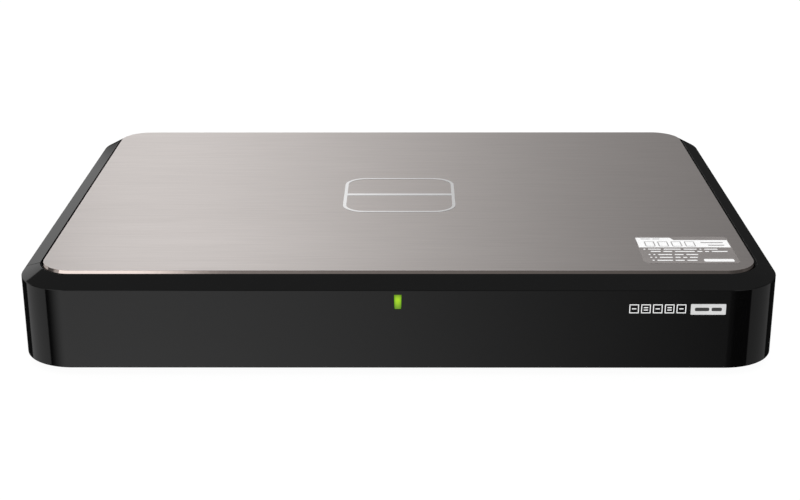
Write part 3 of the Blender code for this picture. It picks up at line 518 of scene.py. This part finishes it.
def cover_shell(look):
    """The whole upper case behind the seam, with the deck under the plate."""
    inner = [(WALL, UNDER_SHOULDER_Z), (POCKET_INSET + 0.07, UNDER_DECK_Z)]
    cover = loft("cover_shell", rings_of([*wall_profile(), *inner]))
    ahead = seam_region("ahead", True, SEAM_GAP / 2)
    combine(ahead, case_block("deck_kept", DECK_INSET, (30.0, 50.0)))
    window = loft(
        "window",
        [
            [(x, y, z) for x, z in rounded_outline((-WINDOW_HALF_W, WINDOW_HALF_W), WINDOW_Z, 3.0, 6)]
            for y in (100, 115)
        ],
    )
    vents = []
    for i in range(VENTS):
        y = VENT_FIRST + VENT_PITCH * i
        slot = rounded_outline((y, y + VENT_W), VENT_Z, VENT_W / 2 - 0.01, 5)
        for x in (-HALF_W, HALF_W):
            vents.append(loft("vent", [[(x + depth, v, z) for v, z in slot] for depth in (-6, 6)]))
    combine(cover, ahead, window, *vents)
    posts = [(x, y, 22.4) for x, y in POSTS]
    combine(cover, rods("posts", posts, 3.5, 33.2), operation="UNION")
    bores = rods("bores", [(x, y, 10.0) for x, y in POSTS], 1.6, 14.0)
    rear = [(x, HALF_D, REAR_SCREW_Z) for x in REAR_SCREW_X]
    combine(cover, bores, rods("seats", rear, 3.1, 2.6, "Y", 32), rods("holes", rear, 1.7, 8.0, "Y"))
    return dress(cover, "chassis", look, ("top_cover",), sharp=28)


def bezel_shell(look):
    """The pull-off front, with its lip, magnet cups and the hole for the status window."""
    inner = [(WALL, UNDER_SHOULDER_Z), (POCKET_INSET, UNDER_DECK_Z - 0.03)]
    bezel = loft("bezel_shell", rings_of([*wall_profile()[1:], *inner]), closed=True)
    combine(bezel, seam_region("behind", False, -SEAM_GAP / 2))
    lip = blocks("lip", [((-124, 124), (-108.6, -103.6), (3.9, 5.2))])
    cups = [
        blocks("cup", [(sorted((side * 122.2, side * 131.8)), (-108.6, -102.9), (7.6, 32.4))])
        for side, _ in SIDES
    ]
    combine(bezel, lip, *cups, operation="UNION")
    pockets = [
        blocks("pocket", [(sorted((side * 123.4, side * 130.6)), (-105.6, -100.0), (8.8, 31.2))])
        for side, _ in SIDES
    ]
    hole_x = (-PIPE_HALF_W - 0.15, PIPE_HALF_W + 0.15)
    hole = blocks("hole", [(hole_x, (-115.0, -104.0), (PIPE_Z[0] - 0.15, PIPE_Z[1] + 0.15))])
    combine(bezel, *pockets, hole)
    return dress(bezel, "bezel", look, ("front_bezel",), sharp=28)


def groove_shade_strip(look):
    """A matt black strip round the plate, on the floor of its pocket: painted shade, a dark sheet standing
    in for the shadow deep in the groove round the plate.
    """
    levels = ((POCKET_Z + 0.02, POCKET_INSET + 0.1), (POCKET_Z + 0.12, POCKET_INSET + 0.1))
    strip = loft("groove_shade_strip", rings_of([(inset, z) for z, inset in levels]))
    combine(strip, case_block("within", PLATE_INSET - 0.04, (30.0, 50.0)))
    return dress(strip, "chassis", look, sharp=30)


def metal_plate(top_look, edge_look):
    """The brushed plate with its bright cut edge."""
    levels = [
        (PLATE_INSET + 0.15, PLATE_BOTTOM),
        (PLATE_INSET, PLATE_BOTTOM + 0.15),
        (PLATE_INSET, PLATE_EDGE_Z),
        (PLATE_INSET + PLATE_EDGE_RUN, PLATE_TOP - 0.04),
        (PLATE_INSET + PLATE_EDGE_RUN + 0.05, PLATE_TOP),
    ]
    plate = loft("metal_plate", rings_of(levels))
    mesh = plate.data
    dress(plate, "chassis", top_look, ("top_plate",), sharp=20)
    mesh.materials.append(edge_look)
    brush = mesh.uv_layers.new(name="brush")
    for polygon in mesh.polygons:
        centre = polygon.center / MM
        steep = abs(polygon.normal.z) < 0.9
        polygon.material_index = int(steep and centre.z > PLATE_EDGE_Z)
        for index in polygon.loop_indices:
            place = mesh.vertices[mesh.loops[index].vertex_index].co
            brush.data[index].uv = (place.y * 3 + 0.5, place.x * 3 + 0.5)
    return plate


def badge(look):
    """The raised emblem: a rounded square ring with one bar, its upper edges rounded."""
    low, high = (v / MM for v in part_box("emblem"))
    x, y, z = ((low[i], high[i]) for i in range(3))
    corner, width = 10.0, 1.5
    ring = slab("badge_ring", x, y, z, corner, edge=0.06, steps=14)
    inner = [(low_side + width, high_side - width) for low_side, high_side in (x, y)]
    hole = slab("hole", *inner, (z[0] - 1, z[1] + 1), corner - width, steps=14)
    combine(ring, hole)
    middle = sum(y) / 2
    bar = slab("bar", (x[0] + 0.5, x[1] - 0.5), (middle - 1.5, middle + 1.5), z, 0.3, edge=0.05)
    combine(ring, bar, operation="UNION")
    return dress(ring, "chassis", look, ("emblem",), bevel=0.0, sharp=50)


def printed(name, body, look, shapes):
    """Thin printed marks as one piece. Each shape is a solid given by its two end rings."""
    parts = [loft(name + "_part", rings) for rings in shapes]
    bm = bmesh.new()
    for part in parts:
        bm.from_mesh(part.data)
    mesh = bpy.data.meshes.new(name)
    bm.to_mesh(mesh)
    bm.free()
    for part in parts:
        bpy.data.objects.remove(part)
    return dress(new_object(name, mesh), body, look, sharp=30)


def flat_mark(x, y, z, radius=0.15, steps=3):
    """A mark that lies on a level face."""
    outline = rounded_outline(x, y, radius, steps)
    return [[(u, v, height) for u, v in outline] for height in z]


def front_mark(x, z, y, radius=0.15, steps=3):
    """A mark on the front face."""
    outline = rounded_outline(x, z, radius, steps)
    return [[(u, depth, v) for u, v in outline] for depth in y]


def label_pieces(film_look, white_look, grey_look):
    low, high = (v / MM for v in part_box("info_label"))
    film = slab(
        "label_film_piece", (low.x, high.x), (low.y, high.y), (low.z, high.z), 2.0, edge=0.03, steps=6
    )
    dress(film, "chassis", film_look, ("info_label",), sharp=50)
    top = (high.z - 0.005, high.z + 0.012)
    band = [(98.4, -74.5), (135.8, -74.5), (135.8, -65.7), (113.8, -65.7), (112.6, -62.8), (98.4, -62.8)]
    shapes = [[[(x, y, z) for x, y in band] for z in top]]
    rows = (
        (-76.7, 99.8, (0.8, 5.2, 7.0, 5.4, 0.8, 5.4)),
        (-79.4, 102.4, (4.0, 3.6, 8.0, 2.0, 1.6, 6.4)),
        (-83.0, 101.0, (0.8, 0.8, 5.6, 3.6, 4.8)),
        (-86.3, 101.2, (0.8, 0.8, 5.2, 2.0, 1.6, 3.2)),
        (-89.7, 101.6, (0.8, 6.2, 3.6, 4.0)),
    )
    for y, x, lengths in rows:
        for length in lengths:
            shapes.append(flat_mark((x, x + length), (y - 0.5, y + 0.5), top, 0.2))
            x += length + 1.1
    shapes.append(flat_mark((122.2, 134.2), (-91.2, -88.2), top, 0.6))
    printed("label_print_light", "chassis", white_look, shapes)
    upper = (high.z + 0.008, high.z + 0.02)
    near, far, side, stroke = -73.4, -67.4, 4.2, 0.5
    dark = []
    for x in (101.2, 106.7, 112.2, 117.7):
        inside = (near + stroke + 0.02, far - stroke - 0.02)
        dark += [
            flat_mark((x, x + side), (near, near + stroke), upper, 0.2),
            flat_mark((x, x + side), (far - stroke, far), upper, 0.2),
            flat_mark((x, x + stroke), inside, upper, 0.15),
            flat_mark((x + side - stroke, x + side), inside, upper, 0.15),
        ]
    dark += [flat_mark(x, y, upper, 0.3) for x, y in (
        ((124.4, 133.6), (-69.4, -68.2)),
        ((127.0, 133.6), (-72.6, -71.4)),
        ((100.4, 104.4), (-64.7, -63.9)),
        ((105.2, 108.2), (-64.7, -63.9)),
    )]
    printed("label_print_dark", "chassis", grey_look, dark)


def front_print(white_look, badge_look, dark_look):
    """Plain marks on the front, to the right: four small signs and a light plate."""
    face = -HALF_D
    y = (face - 0.012, face + 0.05)
    low, high, side, stroke = 26.8, 30.5, 3.7, 0.34
    shapes = []
    for x, rows in ((90.2, 1), (94.8, 2), (99.4, 1), (104.0, 2), (108.6, 1)):
        inside = (low + stroke + 0.02, high - stroke - 0.02)
        shapes += [
            front_mark((x, x + side), (low, low + stroke), y, 0.12),
            front_mark((x, x + side), (high - stroke, high), y, 0.12),
            front_mark((x, x + stroke), inside, y, 0.08),
            front_mark((x + side - stroke, x + side), inside, y, 0.08),
        ]
        for row in range(rows):
            z = (low + high) / 2 + (row - (rows - 1) / 2) * 1.0
            shapes.append(front_mark((x + 1.0, x + side - 1.0), (z - 0.2, z + 0.2), y, 0.12))
    printed("front_signs", "bezel", white_look, shapes)
    plate = front_mark((114.1, 127.8), (26.2, 30.65), y, 0.3)
    printed("front_badge", "bezel", badge_look, [plate])
    over = (face - 0.022, face + 0.02)
    dark = [front_mark(x, (27.7, 29.15), over, 0.5) for x in ((115.7, 121.3), (122.2, 126.2))]
    printed("front_badge_mark", "bezel", dark_look, dark)


def status_window():
    x = (-PIPE_HALF_W, PIPE_HALF_W)
    look = window_light(Vector((x[0], 0, PIPE_Z[0])) * MM, Vector((x[1], 0, PIPE_Z[1])) * MM)
    pipe = blocks("status_window_piece", [(x, (-109.95, -104.2), PIPE_Z)])
    flange = blocks("flange", [((-3.0, 3.0), (-107.5, -106.5), (27.6, 34.6))])
    combine(pipe, flange, operation="UNION")
    return dress(pipe, "bezel", look, ("light_pipe",), bevel=0.08)


# ---------------------------------------------------------------- feet, screws, sockets


def foot(node, look):
    """A rubber foot with a rounded rim and a shallow ring groove in its sole."""
    low, high = (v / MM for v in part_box(node))
    place = ((low.x + high.x) / 2, (low.y + high.y) / 2, 0.0)
    profile = [(0.01, 0.5), (3.6, 0.5), (3.9, 0.0), (6.5, 0.0), (6.95, 0.12), (7.3, 0.45), (7.7, 1.1)]
    profile += [(8.3, 3.0), (8.4, 3.3), (8.4, 4.2), (8.3, 4.3), (0.01, 4.3)]
    piece = turned(node + "_piece", profile, place, sides=64)
    return dress(piece, "chassis", look, (node,), sharp=40)


def rear_screw(node, look):
    low, high = (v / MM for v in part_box(node))
    centre = ((low.x + high.x) / 2, 0.0, (low.z + high.z) / 2)
    base = high.y - 0.95
    profile = [(0.01, base + 0.95), (1.9, base + 0.93), (2.35, base + 0.75), (2.62, base + 0.4)]
    profile += [(2.7, base), (1.25, base - 0.02), (1.25, low.y + 0.4), (0.9, low.y), (0.01, low.y)]
    piece = turned(node + "_piece", profile, centre, axis="Y", sides=40)
    for size in ((1.5, 0.32), (0.32, 1.5)):
        x, z = ((centre[i] - s, centre[i] + s) for i, s in zip((0, 2), size))
        combine(piece, blocks("slot", [(x, (base + 0.3, base + 2), z)]))
    return dress(piece, "chassis", look, (node,), sharp=35)


SIGN_Y = (108.7, 108.86)


def power_button(look, mark_look):
    """The round button with a dished face, and the usual sign of a broken ring and a line."""
    profile = [(0.01, 108.75), (2.2, 108.8), (3.4, 108.98), (3.8, 109.0), (4.08, 108.88), (4.2, 108.6)]
    profile += [(4.2, 105.2), (5.2, 105.2), (5.2, 104.2), (0.01, 104.2)]
    button = turned("power_button_piece", profile, (POWER_X, 0.0, POWER_Z), axis="Y", sides=64)
    dress(button, "power_key", look, ("power_button",), sharp=35)
    bm = bmesh.new()
    ring, steps = [], 30
    for step in range(steps + 1):
        turn = math.radians(90 + 35 + 290 * step / steps)
        for depth in SIGN_Y:
            for radius in (1.35, 1.7):
                x = POWER_X + radius * math.cos(turn)
                ring.append(bm.verts.new(Vector((x, depth, POWER_Z + radius * math.sin(turn))) * MM))
    for step in range(steps):
        a, b = ring[4 * step : 4 * step + 4], ring[4 * step + 4 : 4 * step + 8]
        for i, j in ((0, 1), (1, 3), (3, 2), (2, 0)):
            bm.faces.new((a[i], a[j], b[j], b[i]))
    bm.faces.new((ring[0], ring[1], ring[3], ring[2]))
    bm.faces.new((ring[-4], ring[-3], ring[-1], ring[-2]))
    sign = from_bmesh("power_sign", bm)
    line_x, line_z = (POWER_X - 0.18, POWER_X + 0.18), (POWER_Z + 0.3, POWER_Z + 2.0)
    combine(sign, blocks("line", [(line_x, SIGN_Y, line_z)]), operation="UNION")
    return dress(sign, "power_key", mark_look, sharp=30)


def contacts(look):
    """The spring contacts in the network and bus sockets, and on the display sockets' tongues."""
    limits = []
    for x in LAN_X:
        for i in range(8):
            c = x - 3.57 + 1.02 * i
            limits.append(((c - 0.22, c + 0.22), (94.0, 104.5), (19.6, 20.9)))
    for x in USB_X:
        for z in (12.0, 19.6):
            for i in range(4):
                c = x - 3.5 + 7.0 / 3 * i
                limits.append(((c - 0.5, c + 0.5), (97.0, 105.6), (z + 2.9, z + 3.12)))
    for x in HDMI_X:
        for i in range(9):
            c = x - 4.4 + 1.1 * i
            limits.append(((c - 0.2, c + 0.2), (98.0, 105.8), (14.88, 15.05)))
    piece = blocks("socket_contacts", limits)
    return dress(piece, "chassis", look, sharp=30)


# ---------------------------------------------------------------- studio


def studio_floor():
    made, tree, _ = material("floor_pale")
    output = made.node_tree.nodes["Material Output"]
    made.node_tree.nodes.remove(made.node_tree.nodes["Principled BSDF"])
    diffuse = tree.add("BsdfDiffuse", {"Color": (0.9, 0.9, 0.9, 1.0)})
    glow = tree.add("Emission", {"Strength": 1.03})
    tree.put(output.inputs["Surface"], tree.add("MixShader", {0: 0.93, 1: diffuse, 2: glow}))
    half = 2.5
    bm = bmesh.new()
    corners = ((-half, -half), (half, -half), (half, half), (-half, half))
    bm.faces.new([bm.verts.new((x, y, 0.0)) for x, y in corners])
    floor = from_bmesh("floor", bm)
    floor.data.materials.append(made)
    floor.visible_glossy = False


# Soft boxes below the horizon: where each begins and is full, where it fades and ends, in degrees from
# the front towards the right, and its brightness
LOW_BOXES = [
    ((-119.6, -119.0), (-61.0, -60.2), 0.51),
    ((-59.0, -23.0), (-14.0, 19.5), 0.84),
    ((0.0, 14.0), (20.0, 28.0), 0.04),
    ((60.4, 61.0), (119.0, 119.6), 0.265),
]
LOW_REAR = ((167.0, 172.0), 0.49)
LOW_LEVEL = 0.012

# Above the horizon: a dim dome, a tall panel at the rear left, a wide box behind and a strip in front.
# A pair's first number is the upward part of the direction for the dome, and its part towards the
# right for the box and the strip. Its second is brightness.
DOME = [(-1.0, 0.036), (0.0, 0.036), (0.3, 0.079), (1.0, 0.24)]
PANEL_ANGLES, PANEL_RISE, PANEL_LEVELS = (-160.5, -100.0), (0.0, 0.4), (0.36, 0.76)
PANEL_TOP = 0.459
BACK_ANGLE = 162.5
BACK_BOX = [
    (-0.4, 0.65), (-0.2, 1.5), (0.0, 0.70), (0.1, 0.385), (0.2, 0.24), (0.37, 0.055), (0.5, 0.05),
]
FRONT_STRIP = [
    (-0.76, 0.36), (-0.74, 1.0), (-0.175, 1.0), (-0.13, 0.21), (0.0, 0.145), (0.2, 0.08), (0.6, 0.05),
]
FRONT_GLOW = 0.75


def studio_world():
    world = bpy.data.worlds.new("studio")
    world.use_nodes = True
    bpy.context.scene.world = world
    tree = Tree(world.node_tree)
    direction = tree.add("TexCoord", out=0)
    x, y, z = (tree.add("SeparateXYZ", {0: direction}, out=i) for i in range(3))
    azimuth = tree.maths("ARCTAN2", x, tree.maths("MULTIPLY", y, -1.0))
    degrees = tree.maths("DEGREES", azimuth)
    turned_away = tree.maths("ABSOLUTE", degrees)

    def levels(value, stops):
        """The brightness along a value that runs from -1 to 1."""
        across = tree.remap(value, (-1.0, 1.0), (0.0, 1.0))
        return tree.ramp(across, [((place + 1) / 2, level) for place, level in stops])

    def between(value, low, high):
        """Rises smoothly from 0 to 1 between two limits."""
        socket = tree.remap(value, (low, high), (0.0, 1.0))
        socket.node.interpolation_type = "SMOOTHSTEP"
        return socket

    def within(value, rise, fade):
        return tree.maths("MULTIPLY", between(value, *rise), between(value, fade[1], fade[0]))

    low = tree.maths("MULTIPLY_ADD", between(turned_away, *LOW_REAR[0]), LOW_REAR[1], LOW_LEVEL)
    for rise, fade, level in LOW_BOXES:
        low = tree.maths("MULTIPLY_ADD", within(degrees, rise, fade), level, low)
    low = tree.maths("MULTIPLY", low, tree.remap(z, (-0.43, -0.36), (1.06, 0.98)))

    near, far = PANEL_ANGLES
    panel = within(degrees, (near - 0.7, near + 0.7), (far - 4, far + 4))
    panel = tree.maths("MULTIPLY", panel, between(z, PANEL_TOP + 0.01, PANEL_TOP - 0.01))
    upper = tree.mix(panel, levels(z, DOME), tree.remap(z, PANEL_RISE, PANEL_LEVELS))

    behind = between(turned_away, BACK_ANGLE - 1.4, BACK_ANGLE + 1.4)
    behind = tree.maths("MULTIPLY", behind, within(z, (0.10, 0.16), (0.78, 0.88)))
    higher = tree.remap(z, (0.2, 0.45), (0.84, 1.08))
    upper = tree.mix(behind, upper, tree.mix(1.0, levels(x, BACK_BOX), higher, "MULTIPLY"))

    ahead = between(y, 0.0, -0.2)
    outer = between(tree.maths("ABSOLUTE", x), 0.28, 0.42)
    glow = tree.maths("MULTIPLY", between(y, -0.4, -0.55), between(z, 0.86, 0.76))
    upper = tree.mix(tree.maths("MULTIPLY", outer, glow), upper, (FRONT_GLOW,) * 3 + (1.0,))
    strip = tree.maths("MULTIPLY", ahead, within(z, (0.24, 0.29), (0.51, 0.56)))
    upper = tree.mix(strip, upper, levels(x, FRONT_STRIP))

    glossy = tree.mix(between(z, -0.14, -0.05), low, upper)
    soft = levels(z, [(-1.0, 0.5), (0.0, 0.8), (1.0, 1.4)])
    path = {name: tree.add("LightPath", out=i) for i, name in ((0, "camera"), (2, "diffuse"))}
    shown = tree.mix(path["diffuse"], glossy, soft)
    shown = tree.mix(path["camera"], shown, (1.0, 1.0, 1.0, 1.0))
    background = world.node_tree.nodes["Background"]
    tree.put(background.inputs["Color"], shown)


CAMERA_PLACE = (0.0047, -0.6580, 0.2520)
CAMERA_TURN = (-0.395, 19.955, -0.132)  # degrees to the right, down, and clockwise
CAMERA_LENS = 68.26


def studio_camera():
    data = bpy.data.cameras.new("camera")
    data.sensor_width = 36.0
    data.lens = CAMERA_LENS
    data.clip_start, data.clip_end = 0.01, 20.0
    camera = bpy.data.objects.new("camera", data)
    bpy.context.scene.collection.objects.link(camera)
    yaw, pitch, roll = (math.radians(v) for v in CAMERA_TURN)
    ahead = Vector((math.sin(yaw) * math.cos(pitch), math.cos(yaw) * math.cos(pitch), -math.sin(pitch)))
    level = Vector((math.cos(yaw), -math.sin(yaw), 0.0))
    above = level.cross(ahead)
    right = math.cos(roll) * level + math.sin(roll) * above
    up = math.cos(roll) * above - math.sin(roll) * level
    turn = Matrix((right, up, -ahead)).transposed().to_4x4()
    camera.matrix_world = Matrix.Translation(CAMERA_PLACE) @ turn
    bpy.context.scene.camera = camera


# ---------------------------------------------------------------- assembly

shell = black_shell("shell_gloss", (0.0019, 0.0019, 0.0020), 0.08, 0.6)
cover_look = black_shell("cover_gloss", (0.0019, 0.0019, 0.0020), 0.09, 0.6)
cut_edge = plain_metal("plate_cut_edge", (0.88, 0.755, 0.70), (0.96, 0.825, 0.76), (0.04, 0.08), 600.0)
chrome = plain_metal(
    "badge_polished", (0.92, 0.92, 0.92), (0.98, 0.98, 0.98), (0.06, 0.12), 900.0, bump=0.02
)
film = plastic(
    "label_film_grey", (0.235, 0.215, 0.208), (0.265, 0.243, 0.235), (0.32, 0.42), 1200.0, 0.05
)
white_print = plastic("print_white", (0.94, 0.94, 0.94), (0.98, 0.98, 0.98), (0.35, 0.5), 1500.0, 0.05)
grey_print = plastic("print_grey", (0.36, 0.35, 0.35), (0.42, 0.41, 0.41), (0.35, 0.5), 1500.0, 0.05)
pale_print = plastic("print_pale", (0.62, 0.62, 0.62), (0.72, 0.72, 0.72), (0.3, 0.45), 1500.0, 0.05)
dark_print = plastic("print_dark", (0.03, 0.03, 0.03), (0.05, 0.05, 0.05), (0.35, 0.5), 1500.0, 0.05)
# Painted shade: a near-black matt material for the pocket-floor strip, in place of the shadow deep in the
# groove round the plate
groove_shade_black = plastic("groove_painted_shade", (0.003, 0.003, 0.003), (0.0042, 0.0042, 0.0042), (0.9, 1.0), 1500.0, 0.3)
rubber = plastic("foot_rubber", (0.012, 0.012, 0.012), (0.022, 0.022, 0.022), (0.7, 0.9), 1800.0, 0.4)
powder = plastic("powder_coat", (0.010, 0.010, 0.011), (0.018, 0.018, 0.019), (0.38, 0.55), 2200.0, 0.35)
tray_look = plastic(
    "tray_moulded", (0.016, 0.016, 0.018), (0.026, 0.026, 0.028), (0.42, 0.58), 2600.0, 0.3
)
socket_black = plastic(
    "socket_moulded", (0.012, 0.012, 0.012), (0.02, 0.02, 0.02), (0.4, 0.55), 2000.0, 0.2
)
jacket = plastic("cable_sheath", (0.012, 0.012, 0.012), (0.02, 0.02, 0.02), (0.5, 0.65), 1500.0, 0.2)
button_green = plastic("button_green", (0.20, 0.46, 0.03), (0.28, 0.58, 0.04), (0.3, 0.42), 1800.0, 0.12)
zinc = plain_metal("steel_zinc", (0.50, 0.51, 0.52), (0.66, 0.67, 0.68), (0.30, 0.42), 140.0, bump=0.04)
casting = plain_metal(
    "aluminium_cast", (0.36, 0.37, 0.38), (0.46, 0.47, 0.48), (0.42, 0.55), 1500.0, bump=0.4
)
lid_look = plain_metal(
    "steel_lid", (0.58, 0.59, 0.60), (0.72, 0.73, 0.74), (0.24, 0.34), 900.0, (1.0, 0.03, 1.0), 0.1
)
fins = plain_metal(
    "heatsink_extruded", (0.50, 0.51, 0.52), (0.64, 0.65, 0.66), (0.32, 0.45), 1200.0, (1.0, 0.02, 1.0), 0.2
)
gold = plain_metal("contact_gold", (0.72, 0.48, 0.18), (0.90, 0.64, 0.28), (0.2, 0.3), 900.0)
nickel = plain_metal("nickel_bright", (0.62, 0.62, 0.62), (0.78, 0.78, 0.78), (0.16, 0.26), 500.0)
main_laminate, side_laminate = circuit_board(), small_board()

studio_camera()
cover_shell(cover_look)
bezel_shell(shell)
metal_plate(brushed_plate(), cut_edge)
groove_shade_strip(groove_shade_black)
badge(chrome)
label_pieces(film, white_print, grey_print)
front_print(white_print, pale_print, dark_print)
status_window()
for end in ("front", "rear"):
    for _, hand in SIDES:
        foot(f"foot_{end}_{hand}", rubber)
for number in (1, 2, 3):
    rear_screw(f"rear_screw_{number}", powder)
power_button(shell, white_print)
contacts(gold)

for node in ("base_pan", "front_bracket_left", "front_bracket_right", "drive_cage"):
    refined(node, zinc, 0.0)
for node in ("hdmi_port_1", "hdmi_port_2", "lan_port_1", "lan_port_2", "usb3_ports", "usb2_ports"):
    refined(node, nickel, 0.12)
refined("rear_panel", powder, 0.0)
for node in ("dc_inlet", "reset_switch", "power_switch", "sata_socket_left", "sata_socket_right",
             "backplane_link", "coin_cell_holder", "buzzer"):
    refined(node, socket_black, 0.15)
refined("reset_button", socket_black, 0.1)
refined("infrared_receiver", shell, 0.15)
refined("status_led", white_print, 0.1)
refined("heatsink", fins, 0.2)
refined("led_cable", jacket, 0.0, 60)
for node in ("mainboard", "processor"):
    refined(node, main_laminate, 0.1)
for node in ("sata_backplane", "led_board"):
    refined(node, side_laminate, 0.1)
refined("coin_cell", nickel, 0.3)
for _, hand in SIDES:
    refined(f"bezel_magnet_{hand}", nickel, 0.3)
    refined(f"tray_{hand}", tray_look, 0.25)
    refined(f"lever_{hand}", tray_look, 0.25)
    refined(f"lever_button_{hand}", button_green, 0.25)
    refined(f"lever_pin_{hand}", nickel, 0.15)
    refined(f"drive_casting_{hand}", casting, 0.4)
    refined(f"drive_lid_{hand}", lid_look, 0.2)
    refined(f"drive_board_{hand}", side_laminate, 0.15)

studio_floor()
studio_world()
bpy.context.scene.view_settings.view_transform = "Standard"
